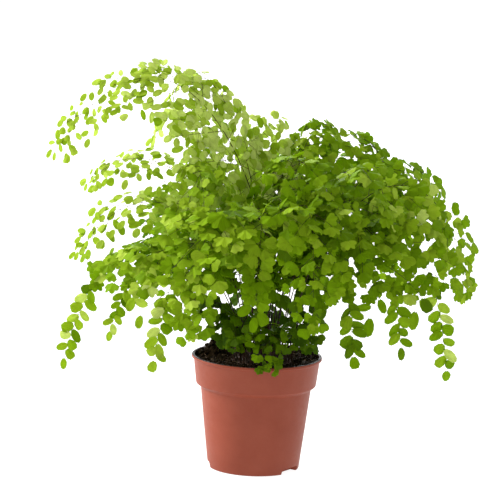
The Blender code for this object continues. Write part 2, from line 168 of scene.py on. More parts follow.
def turned_solid(name, profile, sides):
    """A closed solid drawn up ring by ring through (radius, height) points, from its lowest face."""
    bpy.ops.object.select_all(action="DESELECT")
    radius, height = profile[0]
    bpy.ops.mesh.primitive_circle_add(
        vertices=sides, radius=radius, fill_type="NGON", location=(0, 0, height)
    )
    made = bpy.context.object
    made.name = name
    bpy.ops.object.mode_set(mode="EDIT")
    bpy.ops.mesh.select_all(action="SELECT")
    for next_radius, next_height in profile[1:]:
        bpy.ops.mesh.extrude_region_move(
            TRANSFORM_OT_translate={"value": (0, 0, next_height - height)}
        )
        share = next_radius / radius
        bpy.ops.transform.resize(value=(share, share, 1), center_override=(0, 0, next_height))
        radius, height = next_radius, next_height
    bpy.ops.mesh.select_all(action="SELECT")
    bpy.ops.mesh.normals_make_consistent(inside=False)
    bpy.ops.object.mode_set(mode="OBJECT")
    bpy.ops.object.transform_apply(location=True, rotation=True, scale=True)
    return made


def cut(made, cutter, operation="DIFFERENCE"):
    """Cuts one solid with another, which is then thrown away."""
    bpy.ops.object.select_all(action="DESELECT")
    bpy.context.view_layer.objects.active = made
    made.select_set(True)
    tool = made.modifiers.new("cut", "BOOLEAN")
    tool.operation = operation
    tool.solver = "EXACT"
    tool.object = cutter
    bpy.ops.object.modifier_apply(modifier=tool.name)
    bpy.data.objects.remove(cutter)


def notch_block(bearing, margin):
    """The arched space of one drain notch, with its upper edges rounded, grown by a margin."""
    outward = NOTCH_DEPTH + margin + 5 * MM
    height = NOTCH_HEIGHT + margin + 5 * MM
    bpy.ops.object.select_all(action="DESELECT")
    bpy.ops.mesh.primitive_cube_add(
        size=1,
        location=(BASE_RADIUS - NOTCH_DEPTH - margin + outward / 2, 0, NOTCH_HEIGHT + margin - height / 2),
    )
    bpy.ops.transform.resize(value=(outward, NOTCH_WIDTH + 2 * margin, height))
    bpy.ops.object.transform_apply(location=True, rotation=True, scale=True)
    made = bpy.context.object
    bpy.ops.object.mode_set(mode="EDIT")
    bpy.ops.mesh.select_all(action="DESELECT")
    mesh = bmesh.from_edit_mesh(made.data)
    for edge in mesh.edges:
        low, high = (corner.co for corner in edge.verts)
        edge.select = low.z > 0 and high.z > 0 and abs(low.x - high.x) > outward / 2
    bpy.ops.mesh.bevel(offset=3.6 * MM + margin, segments=5, affect="EDGES")
    bpy.ops.object.mode_set(mode="OBJECT")
    made.rotation_euler = (0, 0, math.radians(bearing))
    bpy.ops.object.transform_apply(location=True, rotation=True, scale=True)
    return made


SHOULDER_TOP = POT_HEIGHT - BAND_HEIGHT
BODY_TOP = SHOULDER_TOP - SHOULDER_DROP
LIP_FOOT = POT_HEIGHT - LIP_DEPTH
pot = turned_solid(
    "pot_moulding",
    [
        (BASE_RADIUS - 1.5 * MM, 0),
        (BASE_RADIUS - 0.5 * MM, 0.45 * MM),
        (BASE_RADIUS, 1.5 * MM),
        (BASE_RADIUS + 0.5 * (BODY_TOP_RADIUS - BASE_RADIUS), BODY_TOP / 2),
        (BODY_TOP_RADIUS - 0.3 * MM, BODY_TOP - 2 * MM),
        (BODY_TOP_RADIUS, BODY_TOP - 0.5 * MM),
        (BODY_TOP_RADIUS + 0.7 * MM, BODY_TOP + 0.2 * MM),
        (BAND_BOTTOM_RADIUS - 0.8 * MM, SHOULDER_TOP - 0.6 * MM),
        (BAND_BOTTOM_RADIUS - 0.1 * MM, SHOULDER_TOP),
        (BAND_BOTTOM_RADIUS + 0.2 * MM, SHOULDER_TOP + 0.8 * MM),
        (BAND_TOP_RADIUS - 0.2 * MM, LIP_FOOT - 1.2 * MM),
        (BAND_TOP_RADIUS + 0.2 * MM, LIP_FOOT - 0.3 * MM),
        (RIM_RADIUS - 0.6 * MM, LIP_FOOT + 0.15 * MM),
        (RIM_RADIUS, LIP_FOOT + 0.7 * MM),
        (RIM_RADIUS, POT_HEIGHT - 0.8 * MM),
        (RIM_RADIUS - 0.25 * MM, POT_HEIGHT - 0.25 * MM),
        (RIM_RADIUS - 0.8 * MM, POT_HEIGHT),
    ],
    POT_SIDES,
)
hollow = turned_solid(
    "pot_hollow",
    [
        (BASE_RADIUS - 2.7 * MM, WALL),
        (BASE_RADIUS - 1.6 * MM, 1.8 * MM),
        (BASE_RADIUS - WALL, 3.2 * MM),
        (BODY_TOP_RADIUS - WALL, BODY_TOP + 0.2 * MM),
        (BAND_BOTTOM_RADIUS - WALL, SHOULDER_TOP + 0.4 * MM),
        (BAND_TOP_RADIUS - WALL, LIP_FOOT),
        (BAND_TOP_RADIUS - WALL + 0.2 * MM, POT_HEIGHT - 0.8 * MM),
        (BAND_TOP_RADIUS - WALL + 0.5 * MM, POT_HEIGHT - 0.2 * MM),
        (BAND_TOP_RADIUS - WALL + 1.2 * MM, POT_HEIGHT + 0.1 * MM),
        (BAND_TOP_RADIUS - WALL + 1.2 * MM, POT_HEIGHT + 4 * MM),
    ],
    POT_SIDES,
)
for bearing in NOTCH_BEARINGS:
    cut(hollow, notch_block(bearing, WALL))
cut(pot, hollow)
for bearing in NOTCH_BEARINGS:
    cut(pot, notch_block(bearing, 0))
    turn = Quaternion(UP, math.radians(bearing))
    bpy.ops.mesh.primitive_cylinder_add(
        vertices=32,
        radius=DRAIN_RADIUS,
        depth=20 * MM,
        location=turn @ Vector((BASE_RADIUS - NOTCH_DEPTH / 2 - WALL, 0, 0)),
    )
    cut(pot, bpy.context.object)
bpy.ops.object.select_all(action="DESELECT")
bpy.context.view_layer.objects.active = pot
pot.select_set(True)
bpy.ops.object.shade_smooth_by_angle(angle=math.radians(32))

# Polypropylene, moulded: terracotta pigment all through, a low waxy sheen, faint flow clouds and rubbed
# patches. The inward and upward faces of the top 9 mm of the wall and lip carry painted shade: a dark brown
# with the gloss turned down.
pot_material, tree = new_tree("moulded_terracotta_polypropylene")
place = add_node(tree, "TexCoord").outputs["Object"]
clouds = add_node(tree, "TexNoise", {"Vector": place, "Scale": 38, "Detail": 4, "Roughness": 0.6})
colour = add_node(
    tree,
    "ValToRGB",
    {"Fac": clouds.outputs["Fac"]},
)
colour.color_ramp.elements[0].position = 0.3
colour.color_ramp.elements[0].color = linear("#883a23")
colour.color_ramp.elements[1].position = 0.72
colour.color_ramp.elements[1].color = linear("#91432d")
flat = add_node(tree, "VectorMath", {0: place, 1: (1, 1, 0)}, operation="MULTIPLY")
outward = add_node(tree, "VectorMath", {0: flat.outputs[0]}, operation="NORMALIZE")
outward = add_node(tree, "VectorMath", {0: outward.outputs[0], 1: (0, 0, 1)}, operation="SUBTRACT")
faces = add_node(tree, "NewGeometry").outputs["Normal"]
facing = add_node(tree, "VectorMath", {0: outward.outputs[0], 1: faces}, operation="DOT_PRODUCT")
inside = add_node(
    tree,
    "MapRange",
    {"Value": facing.outputs["Value"], "From Min": 0.7, "From Max": 0.2},
)
height = add_node(tree, "SeparateXYZ", {0: place})
above = add_node(
    tree,
    "MapRange",
    {"Value": height.outputs["Z"], "From Min": INNER_SHADE_FOOT, "From Max": INNER_SHADE_FOOT + 2 * MM},
)
# Painted shade: inward and upward faces at the top of the wall are darkened brown and lose their gloss.
inner_shade = add_node(
    tree, "Math", {0: inside.outputs["Result"], 1: above.outputs["Result"]}, operation="MULTIPLY"
)
inner_shaded = add_node(
    tree,
    "Mix",
    {6: colour.outputs["Color"], 7: linear("#1d110b"), "Factor": inner_shade.outputs[0]},
    data_type="RGBA",
)
sheen = add_node(tree, "MapRange", {"Value": inner_shade.outputs[0], "To Min": 0.3, "To Max": 0.02})
scuffs = add_node(tree, "TexNoise", {"Vector": place, "Scale": 160, "Detail": 6, "Roughness": 0.7})
gloss = add_node(
    tree,
    "MapRange",
    {"Value": scuffs.outputs["Fac"], "From Min": 0.3, "From Max": 0.7, "To Min": 0.44, "To Max": 0.58},
)
grain = add_node(tree, "TexNoise", {"Vector": place, "Scale": 900, "Detail": 3})
bump = add_node(tree, "Bump", {"Height": grain.outputs["Fac"], "Strength": 0.08, "Distance": 0.0003})
shader = add_node(
    tree,
    "BsdfPrincipled",
    {
        "Base Color": inner_shaded.outputs[2],
        "Roughness": gloss.outputs["Result"],
        "IOR": 1.49,
        "Specular IOR Level": sheen.outputs["Result"],
        "Normal": bump.outputs["Normal"],
    },
)
add_node(tree, "OutputMaterial", {"Surface": shader.outputs[0]})
pot.data.materials.append(pot_material)
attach(pot, "root")
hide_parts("pot")

# ================================================================ peat
# Milled sphagnum peat, firmed into the pot by hand: a dark crumbly surface a few millimetres under the lip,
# heaped a little at the back left, with loose crumbs and a few pale root fibres on it.

SOIL_LEVEL = POT_HEIGHT - 6 * MM
SOIL_GAP = 0.4 * MM
CROWN = Vector((6 * MM, 0, 0))
PEAT_SIDES = 96
PEAT_RING = 2.2 * MM


def soil_height(x, y):
    """Height of the peat's surface: soft lumps, and the heap behind the crown."""
    lumps = 1.6 * MM * noise.noise(Vector((x, y, 0)) / (11 * MM))
    mound = 11.5 * MM * math.exp(-((x + 38 * MM) ** 2 + (y - 24 * MM) ** 2) / (11 * MM) ** 2)
    banked = 2.4 * MM * min(1, math.hypot(x, y) / (52 * MM)) ** 4
    return SOIL_LEVEL + lumps + mound + banked


inset = WALL + SOIL_GAP
slope = (BAND_TOP_RADIUS - BAND_BOTTOM_RADIUS) / (LIP_FOOT - SHOULDER_TOP)
SOIL_RADIUS = BAND_TOP_RADIUS - inset - (LIP_FOOT - SOIL_LEVEL) * slope
profile = [
    (BASE_RADIUS - 3.4 * MM, inset),
    (BASE_RADIUS - inset - 0.2 * MM, 3.6 * MM),
    (BODY_TOP_RADIUS - inset - 0.2 * MM, BODY_TOP),
    (BAND_BOTTOM_RADIUS - inset - 0.2 * MM, SHOULDER_TOP + 0.8 * MM),
    (SOIL_RADIUS, SOIL_LEVEL),
]
rings = int(SOIL_RADIUS / PEAT_RING)
profile += [(SOIL_RADIUS * (1 - (i + 1) / (rings + 1)), SOIL_LEVEL) for i in range(rings)]
peat = turned_solid("peat_surface", profile, PEAT_SIDES)
for vertex in peat.data.vertices:
    if vertex.co.z > SOIL_LEVEL - 0.1 * MM:
        vertex.co.z = soil_height(vertex.co.x, vertex.co.y)
        vertex.co.z += 1.3 * MM * noise.noise(vertex.co / (3.5 * MM))
        vertex.co.z += 0.9 * MM * noise.noise(vertex.co / (1.4 * MM))
bpy.ops.object.select_all(action="DESELECT")
bpy.context.view_layer.objects.active = peat
peat.select_set(True)
for bearing in NOTCH_BEARINGS:
    cut(peat, notch_block(bearing, WALL + SOIL_GAP))
bpy.ops.object.shade_smooth_by_angle(angle=math.radians(60))


def joined_copies(name, shapes, places, tones):
    """One mesh of many copies: each place is (which shape, matrix), and each tone is kept on its faces."""
    mesh = bmesh.new()
    tone_layer = mesh.faces.layers.float.new("tone")
    for index, (which, matrix) in enumerate(places):
        corners, faces = len(mesh.verts), len(mesh.faces)
        mesh.from_mesh(shapes[which])
        mesh.verts.ensure_lookup_table()
        mesh.faces.ensure_lookup_table()
        bmesh.ops.transform(mesh, matrix=matrix, verts=mesh.verts[corners:])
        for face in mesh.faces[faces:]:
            face[tone_layer] = tones[index]
    data = bpy.data.meshes.new(name)
    mesh.to_mesh(data)
    mesh.free()
    made = bpy.data.objects.new(name, data)
    bpy.context.scene.collection.objects.link(made)
    return made


bpy.ops.object.select_all(action="DESELECT")
bpy.ops.mesh.primitive_ico_sphere_add(subdivisions=2, radius=1)
crumb = bpy.context.object
for vertex in crumb.data.vertices:
    vertex.co *= 1 + 0.45 * noise.noise(vertex.co * 1.7)
crumb_shape = crumb.data.copy()
bpy.data.objects.remove(crumb)

draw = random.Random(41)
places = []
tones = []
for _ in range(950):
    bearing = draw.uniform(0, 2 * math.pi)
    radius = (SOIL_RADIUS - 2 * MM) * math.sqrt(draw.uniform(0.1, 1))
    x, y = radius * math.cos(bearing), radius * math.sin(bearing)
    size = draw.uniform(0.35, 1.0) ** 2 * 2.4 * MM + 0.4 * MM
    shift = Matrix.Translation((x, y, soil_height(x, y) + 0.15 * size))
    turn = Quaternion((draw.random(), draw.random(), draw.random(), draw.random())).normalized()
    scale = Matrix.Diagonal((size, size * draw.uniform(0.6, 1), size * draw.uniform(0.45, 0.8), 1))
    places.append((0, shift @ turn.to_matrix().to_4x4() @ scale))
    tones.append(draw.random())
crumbs = joined_copies("peat_crumbs", [crumb_shape], places, tones)


def strand_curve(name, strands, sides_level):
    """A round-section mesh along each strand, a list of (point, radius)."""
    curve = bpy.data.curves.new(name, "CURVE")
    curve.dimensions = "3D"
    curve.bevel_depth = 1
    curve.bevel_resolution = sides_level
    curve.use_fill_caps = True
    for strand in strands:
        spline = curve.splines.new("POLY")
        spline.points.add(len(strand) - 1)
        for point, (place, radius) in zip(spline.points, strand):
            point.co = (*place, 1)
            point.radius = radius
    made = bpy.data.objects.new(name, curve)
    bpy.context.scene.collection.objects.link(made)
    bpy.ops.object.select_all(action="DESELECT")
    bpy.context.view_layer.objects.active = made
    made.select_set(True)
    bpy.ops.object.convert(target="MESH")
    return bpy.context.object


fibre_strands = []
for _ in range(90):
    bearing = draw.uniform(0, 2 * math.pi)
    radius = (SOIL_RADIUS - 7 * MM) * math.sqrt(draw.uniform(0.25, 1))
    start = Vector((radius * math.cos(bearing), radius * math.sin(bearing), 0))
    heading = draw.uniform(0, 2 * math.pi)
    strand = []
    for step in range(6):
        lift = soil_height(start.x, start.y) + draw.uniform(0.6, 2.0) * MM
        strand.append((Vector((start.x, start.y, lift)), draw.uniform(0.12, 0.22) * MM))
        heading += draw.uniform(-0.7, 0.7)
        start += Vector((math.cos(heading), math.sin(heading), 0)) * 1.3 * MM
    fibre_strands.append(strand)
fibres = strand_curve("root_fibres", fibre_strands, 0)

# Damp milled peat: almost black, dull, with brown crumbs where it has dried.
peat_material, tree = new_tree("damp_milled_peat")
place = add_node(tree, "TexCoord").outputs["Object"]
specks = add_node(tree, "TexNoise", {"Vector": place, "Scale": 420, "Detail": 6, "Roughness": 0.7})
damp = add_node(tree, "ValToRGB", {"Fac": specks.outputs["Fac"]})
damp.color_ramp.elements[0].position = 0.35
damp.color_ramp.elements[0].color = linear("#0f0a03")
damp.color_ramp.elements[1].position = 0.75
damp.color_ramp.elements[1].color = linear("#2c1f0c")
bump = add_node(tree, "Bump", {"Height": specks.outputs["Fac"], "Strength": 0.7, "Distance": 0.001})
shader = add_node(
    tree,
    "BsdfPrincipled",
    {
        "Base Color": damp.outputs["Color"],
        "Roughness": 0.95,
        "Specular IOR Level": 0.05,
        "Normal": bump.outputs["Normal"],
    },
)
add_node(tree, "OutputMaterial", {"Surface": shader.outputs[0]})

# Dry root and sphagnum fibre: pale straw, dull.
fibre_material, tree = new_tree("dry_root_fibre")
place = add_node(tree, "TexCoord").outputs["Object"]
stains = add_node(tree, "TexNoise", {"Vector": place, "Scale": 180, "Detail": 3})
straws = add_node(tree, "ValToRGB", {"Fac": stains.outputs["Fac"]})
straws.color_ramp.elements[0].position = 0.35
straws.color_ramp.elements[0].color = linear("#3a2a1c")
straws.color_ramp.elements[1].position = 0.7
straws.color_ramp.elements[1].color = linear("#80664a")
bump = add_node(tree, "Bump", {"Height": stains.outputs["Fac"], "Strength": 0.4, "Distance": 0.0004})
shader = add_node(
    tree,
    "BsdfPrincipled",
    {"Base Color": straws.outputs["Color"], "Roughness": 0.9, "Normal": bump.outputs["Normal"]},
)
add_node(tree, "OutputMaterial", {"Surface": shader.outputs[0]})

for piece, surface in ((peat, peat_material), (crumbs, peat_material), (fibres, fibre_material)):
    piece.data.materials.clear()
    piece.data.materials.append(surface)
    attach(piece, "root")
    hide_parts("soil")

# ================================================================ rhizome
# The creeping stem that the fronds grow from, at the peat's surface: a knobbly mound clad in narrow
# black-brown scales, with the broken stubs of old stalks standing in it.

RHIZOME_RADIUS = 35 * MM
RHIZOME_SEAT = POT_HEIGHT - 11 * MM
RHIZOME_RISE = 11.5 * MM


def rhizome_height(x, y):
    """Height of the rhizome's knobbly top over a point."""
    share = min(1, math.hypot(x - CROWN.x, y - CROWN.y) / RHIZOME_RADIUS)
    knob = noise.noise(Vector((x, y, 0)) / (9 * MM)) + 0.5 * noise.noise(Vector((x, y, 3)) / (4 * MM))
    return RHIZOME_SEAT + RHIZOME_RISE * math.sqrt(1 - share * share) * (0.9 + 0.09 * knob)


rings = 20
profile = [(RHIZOME_RADIUS - 0.4 * MM, RHIZOME_SEAT + 0.2 * MM)]
profile += [
    (RHIZOME_RADIUS * (1 - (i + 1) / (rings + 1)), RHIZOME_SEAT + 0.2 * MM * (i + 2))
    for i in range(rings)
]
rhizome = turned_solid("rhizome_mound", profile, 72)
for vertex in rhizome.data.vertices:
    vertex.co.x += CROWN.x
    if vertex.co.z > RHIZOME_SEAT + 0.3 * MM:
        vertex.co.z = rhizome_height(vertex.co.x, vertex.co.y)
bpy.ops.object.select_all(action="DESELECT")
bpy.context.view_layer.objects.active = rhizome
rhizome.select_set(True)
bpy.ops.object.shade_smooth_by_angle(angle=math.radians(60))

bpy.ops.object.select_all(action="DESELECT")
bpy.ops.mesh.primitive_cone_add(vertices=5, radius1=0.28, radius2=0.02, depth=1, location=(0, 0, 0.5))
bpy.ops.object.transform_apply(location=True, rotation=True, scale=True)
scale_shape = bpy.context.object.data.copy()
bpy.data.objects.remove(bpy.context.object)
draw = random.Random(57)
places = []
tones = []
for _ in range(900):
    bearing = draw.uniform(0, 2 * math.pi)
    radius = (RHIZOME_RADIUS - 2 * MM) * math.sqrt(draw.random())
    x, y = CROWN.x + radius * math.cos(bearing), radius * math.sin(bearing)
    size = draw.uniform(2.0, 4.5) * MM
    tip = Vector((draw.uniform(-1, 1), draw.uniform(-1, 1), draw.uniform(0.25, 1.0))).normalized()
    turn = UP.rotation_difference(tip).to_matrix().to_4x4()
    shift = Matrix.Translation((x, y, rhizome_height(x, y) - 0.3 * MM))
    places.append((0, shift @ turn @ Matrix.Diagonal((size * 0.6, size * 0.25, size, 1))))
    tones.append(draw.random())
scales = joined_copies("rhizome_scales", [scale_shape], places, tones)

stub_strands = []
for _ in range(70):
    bearing = draw.uniform(0, 2 * math.pi)
    radius = (RHIZOME_RADIUS - 5 * MM) * math.sqrt(draw.random())
    x, y = CROWN.x + radius * math.cos(bearing), radius * math.sin(bearing)
    foot = Vector((x, y, rhizome_height(x, y) - 1 * MM))
    lean = Vector((math.cos(bearing), math.sin(bearing), 0)) * draw.uniform(0.1, 0.6)
    length = draw.uniform(3, 14) * MM
    wide = draw.uniform(0.45, 0.75) * MM
    stub_strands.append([(foot, wide), (foot + (UP + lean).normalized() * length, wide * 0.8)])
stubs = strand_curve("old_stalk_stubs", stub_strands, 1)

# Rhizome scales: thin dry papery skins, black-brown with a faint shine.
scale_material, tree = new_tree("dry_rhizome_scale")
place = add_node(tree, "TexCoord").outputs["Object"]
patches = add_node(tree, "TexNoise", {"Vector": place, "Scale": 300, "Detail": 4})
browns = add_node(tree, "ValToRGB", {"Fac": patches.outputs["Fac"]})
browns.color_ramp.elements[0].position = 0.3
browns.color_ramp.elements[0].color = linear("#1d120b")
browns.color_ramp.elements[1].position = 0.8
browns.color_ramp.elements[1].color = linear("#54351d")
bump = add_node(tree, "Bump", {"Height": patches.outputs["Fac"], "Strength": 0.6, "Distance": 0.001})
shader = add_node(
    tree,
    "BsdfPrincipled",
    {"Base Color": browns.outputs["Color"], "Roughness": 0.7, "Normal": bump.outputs["Normal"]},
)
add_node(tree, "OutputMaterial", {"Surface": shader.outputs[0]})

for piece in (rhizome, scales, stubs):
    piece.data.materials.clear()
    piece.data.materials.append(scale_material)
    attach(piece, "root")
    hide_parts("rhizome")

# ================================================================ stalks and leaflets
# Each frond is one wiry black stalk, bare at first, then set with alternate side stalks that branch again
# into hair-fine leaf stalks. Each of those ends in one soft fan-shaped leaflet, cut and crimped at its
# outer edge. A stalk stands in the rhizome and bows over under its leaves.

# Each frond: bearing of its tip round the crown in degrees from +X, its foot's distance from the
# crown's centre, how far out its tip is, the height that its shoulder pulls up to, how far out
# that shoulder is as a share of the reach, the tip's height, its longest side stalk, the twist
# of its leafy plane in degrees, then the width of its leaflets, how fresh their green is, from 0
# to 1, where along the stalk the lowest side stalk stands, and the share of the side stalks that
# have a partner across. Lengths are in millimetres. The young fronds in the crown have a low
# freshness that is painted shade.
FRONDS = [
    (181, -14, 195, 453, 0.54, 288, 74, -40, 11.5, 0.96, 0.38, 0.8),
    (150, -6, 108, 414, 0.62, 335, 50, -20, 11.5, 0.95, 0.42, 0.7),
    (172, 6, 168, 331, 0.62, 256, 50, -35, 11.5, 0.95, 0.4, 0.9),
    (188, 12, 172, 303, 0.60, 200, 50, -30, 12, 0.92, 0.4, 0.9),
    (199, 22, 190, 283, 0.72, 110, 46, 30, 16, 0.62, 0.3, 0.9),
    (211, 25, 160, 276, 0.72, 140, 46, 20, 14, 0.6, 0.28, 0.9),
    (229, 27, 146, 296, 0.80, 120, 56, 10, 17, 0.72, 0.22, 0.9),
    (244, 26, 144, 326, 0.75, 150, 58, 0, 17, 0.68, 0.22, 0.9),
    (266, 24, 130, 334, 0.78, 166, 58, 0, 20, 0.55, 0.34, 0.8),
    (286, 27, 150, 345, 0.75, 162, 58, 0, 15.5, 0.52, 0.34, 0.6),
    (306, 28, 134, 290, 0.80, 130, 52, -10, 15.5, 0.42, 0.32, 0.7),
    (327, 28, 145, 319, 0.80, 134, 58, 6, 15.5, 0.44, 0.38, 0.7),
    (344, 27, 172, 324, 0.85, 108, 54, 24, 16, 0.52, 0.4, 0.8),
    (0, 24, 184, 355, 0.78, 172, 62, 34, 16.5, 0.57, 0.4, 0.9),
    (17, 20, 174, 352, 0.71, 212, 58, 35, 16, 0.52, 0.4, 0.9),
    (36, 14, 132, 354, 0.65, 276, 56, 30, 15, 0.58, 0.36, 1),
    (52, 8, 98, 354, 0.60, 300, 56, 15, 14.5, 0.6, 0.34, 1),
    (94, 8, 72, 356, 0.60, 306, 54, 10, 13, 0.95, 0.36, 1),
    (334, 12, 124, 355, 0.78, 240, 62, 6, 15.5, 0.58, 0.3, 0.7),
    (290, 10, 86, 358, 0.75, 262, 60, 0, 15, 0.53, 0.24, 0.9),
    (222, 12, 100, 350, 0.72, 236, 60, -15, 14.5, 0.66, 0.26, 0.8),
    (160, 10, 116, 388, 0.60, 298, 56, -30, 12.5, 0.97, 0.42, 0.8),
    (76, 24, 176, 387, 0.72, 186, 64, -10, 14.5, 0.5, 0.38, 0.6),
    (102, 26, 184, 318, 0.75, 146, 62, 5, 14.5, 0.5, 0.42, 0.4),
    (127, 24, 178, 294, 0.75, 146, 60, 15, 14.5, 0.5, 0.38, 0.6),
    (48, 25, 182, 350, 0.78, 160, 64, -15, 14.5, 0.5, 0.46, 0.3),
    (312, 16, 108, 331, 0.72, 232, 58, 0, 15, 0.5, 0.3, 0.6),
    # Young fronds in the crown: their dark green is painted shade.
    (274, 18, 64, 165, 0.75, 108, 26, 0, 10, 0.24, 0.15, 1),
    (234, 18, 56, 169, 0.70, 126, 28, 0, 13, 0.1, 0.15, 1),
    (314, 20, 60, 172, 0.70, 126, 28, 0, 13, 0.1, 0.15, 1),
    (182, 20, 60, 173, 0.70, 142, 30, 10, 13, 0.1, 0.15, 1),
    (92, 18, 56, 173, 0.70, 124, 28, 0, 13, 0.1, 0.15, 1),
]

# The fronds with drooping tips, by bearing: how much further their leafy plane turns towards the tip, in
# degrees, where along the stalk the tip starts that bears its leaflets straight on the main stalk, and how
# far from the stalk's middle those leaflets start, in millimetres.
DROOPING = {
    199: (-90, 0.62, -0.5),
    211: (-65, 0.68, -0.5),
    229: (-36, 0.76, -0.5),
    266: (0, 0.72, 4),
    306: (33, 0.74, -0.5),
    327: (37, 0.76, -0.5),
    344: (37, 0.74, -0.5),
}

# A frond that reaches less far out is a young one, and one with fresher green has slender, airy leaflets.
YOUNG_REACH = 70 * MM
AIRY_FRESH = 0.8
STIPE = 0.42
SIDE_STALKS = 11
YOUNG_SIDE_STALKS = 6
STALK_FOOT = RHIZOME_SEAT + 2.6 * MM
STALK_CLEAR = RHIZOME_SEAT + RHIZOME_RISE + 2.5 * MM


def ramp(value, start, end):
    """Goes from 0 to 1 as a value goes from start to end."""
    return max(0, min(1, (value - start) / (end - start)))


class Frond:
    """The curve of one frond's stalk and where its side stalks leave it."""

    def __init__(self, row):
        bearing, foot, reach, shoulder, hook, tip, spread, twist, width, freshness_and_shade, low, full = row
        self.bearing = math.radians(bearing)
        self.twist = math.radians(twist)
        tip_turn, self.chain, self.chain_gap = DROOPING.get(bearing, (0, 1, 0))
        self.tip_turn = math.radians(tip_turn)
        self.reach = reach * MM
        self.tip = tip * MM
        self.spread = spread * MM
        self.width = width * MM
        self.freshness_and_shade = freshness_and_shade
        self.low = low
        self.full = full
        self.young = self.reach < YOUNG_REACH
        self.airy = freshness_and_shade > AIRY_FRESH
        self.outward = Vector((math.cos(self.bearing), math.sin(self.bearing), 0))
        self.across = UP.cross(self.outward)
        self.foot = CROWN + self.outward * foot * MM + UP * STALK_CLEAR
        rise = shoulder * MM - STALK_CLEAR
        reach_beyond = (reach - foot) * MM
        self.controls = (
            (0, 0),
            (0.06 * reach_beyond, 0.55 * rise),
            (hook * reach_beyond, rise),
            (reach_beyond, tip * MM - STALK_CLEAR),
        )
        draw = random.Random(bearing * 7 + reach)
        self.bow = draw.uniform(-0.06, 0.06) * self.reach
        self.count = YOUNG_SIDE_STALKS if self.young else SIDE_STALKS
        self.swings = [math.radians(draw.uniform(-7, 7)) for _ in range(self.count)]
        self.lengths = [draw.uniform(0.85, 1.12) for _ in range(self.count)]
        self.droops = [draw.uniform(0.12, 0.34) for _ in range(self.count)]
        self.marks = [0.0]
        places = [self.bezier(step / 60) for step in range(61)]
        for first, second in zip(places, places[1:]):
            self.marks.append(self.marks[-1] + (second - first).length)
        self.length = self.marks[-1]

    def bezier(self, t):
        """A cubic Bezier in the frond's upright plane, bowed a little to one side."""
        weights = ((1 - t) ** 3, 3 * t * (1 - t) ** 2, 3 * t * t * (1 - t), t**3)
        out = sum(w * c[0] for w, c in zip(weights, self.controls))
        up = sum(w * c[1] for w, c in zip(weights, self.controls))
        bow = self.bow * t * math.sin(math.pi * t)
        return self.foot + self.outward * out + UP * up + self.across * bow

    def point(self, share):
        """The point of the stalk at a share of its length."""
        wanted = share * self.length
        step = min(max(bisect.bisect_right(self.marks, wanted) - 1, 0), 59)
        part = (wanted - self.marks[step]) / (self.marks[step + 1] - self.marks[step])
        return self.bezier((step + part) / 60)

    def frame(self, t):
        """(point, tangent, left, normal) at a share of the length, twisted with the leafy part."""
        step = 0.004
        tangent = (self.point(t + step) - self.point(t - step)).normalized()
        normal = tangent.cross(self.across).normalized()
        turn = self.tip_turn * ramp(t, 0.5, 0.75)
        normal.rotate(Quaternion(tangent, self.twist * min(1, t / STIPE) + turn))
        return self.point(t), tangent, normal.cross(tangent), normal

    def side_stalk(self, number):
        """(t on the stalk, side, length, angle from the stalk, droop) of one side stalk."""
        share = (number + 0.5) / self.count
        t = STIPE + (0.97 - STIPE) * share
        side = 1 if number % 2 == 0 else -1
        length = self.spread * (1 - 0.8 * share) * self.lengths[number]
        angle = math.radians(64 - 24 * share) + self.swings[number]
        return t, side, length, angle, self.droops[number]


def side_point(frond, stalk, share):
    """A point on a side stalk, and its tangent, at a share of its length."""
    t, side, length, angle, droop = stalk
    start, tangent, left, _ = frond.frame(t)
    heading = tangent * math.cos(angle) + left * side * math.sin(angle)
    run = share * length
    bend = tangent * 0.15 - UP * (droop + 0.45 * max(0, heading.z))
    point = start + heading * run + bend * run * share
    return point, (heading + bend * 2 * share).normalized()


# The leaflet blanks, one unit long: six broad fans for most leaflets, and three slender ones for airy
# fronds and drooping tips. Each is drawn from a flat strip: how wide the fan opens to each side, how many
# lobes its outer edge has and how deep the clefts between them are, how far its rounded corners stand back,
# how it cups and waves, and how slender it is.
RAYS_PER_LOBE = 4
FAN_CUTS = [
    (76, 4, 0.21, 0.36, 0.22, 0.05, 0),
    (68, 3, 0.18, 0.34, 0.18, -0.07, 0),
    (82, 5, 0.17, 0.36, 0.26, 0.07, 0),
    (72, 3, 0.25, 0.32, 0.16, -0.08, 0),
    (62, 2, 0.16, 0.36, 0.24, 0.05, 0),
    (80, 4, 0.23, 0.34, -0.12, 0.07, 0),
    (68, 3, 0.09, 0.10, 0.22, 0.05, 3.0),
    (62, 2, 0.12, 0.10, 0.18, -0.06, 2.2),
    (70, 3, 0.07, 0.12, -0.10, 0.05, 3.8),
]
BROAD_CUTS = 6
LEAF_THICKNESS = 0.028

fan_shapes = []
for opening, lobes, depth, setback, cup, wave, slender in FAN_CUTS:
    rays = lobes * RAYS_PER_LOBE
    bpy.ops.object.select_all(action="DESELECT")
    bpy.ops.mesh.primitive_grid_add(x_subdivisions=rays, y_subdivisions=1, size=1)
    fan = bpy.context.object
    for vertex in fan.data.vertices:
        across, along = vertex.co.x + 0.5, vertex.co.y + 0.5
        angle = math.radians(opening) * (2 * across - 1)
        edge = 1 - setback * abs(2 * across - 1) ** 3
        cleft = 1 - abs(math.sin(math.pi * across * lobes))
        if 0.02 < across < 0.98:
            edge *= 1 - depth * cleft
        radius = edge * math.cos(angle) ** slender if along > 0.5 else 0.07
        sag = -cup * (radius * math.sin(angle)) ** 2 - 0.10 * radius**2
        ripple = wave * radius**2 * math.sin(math.pi * across * (lobes + 1))
        vertex.co = (radius * math.sin(angle), radius * math.cos(angle), sag + ripple)
    skin = fan.modifiers.new("thickness", "SOLIDIFY")
    skin.thickness = LEAF_THICKNESS
    skin.offset = 0
    bpy.ops.object.modifier_apply(modifier=skin.name)
    bpy.ops.object.shade_smooth_by_angle(angle=math.radians(50))
    fan_shapes.append(fan.data.copy())
    bpy.data.objects.remove(fan)
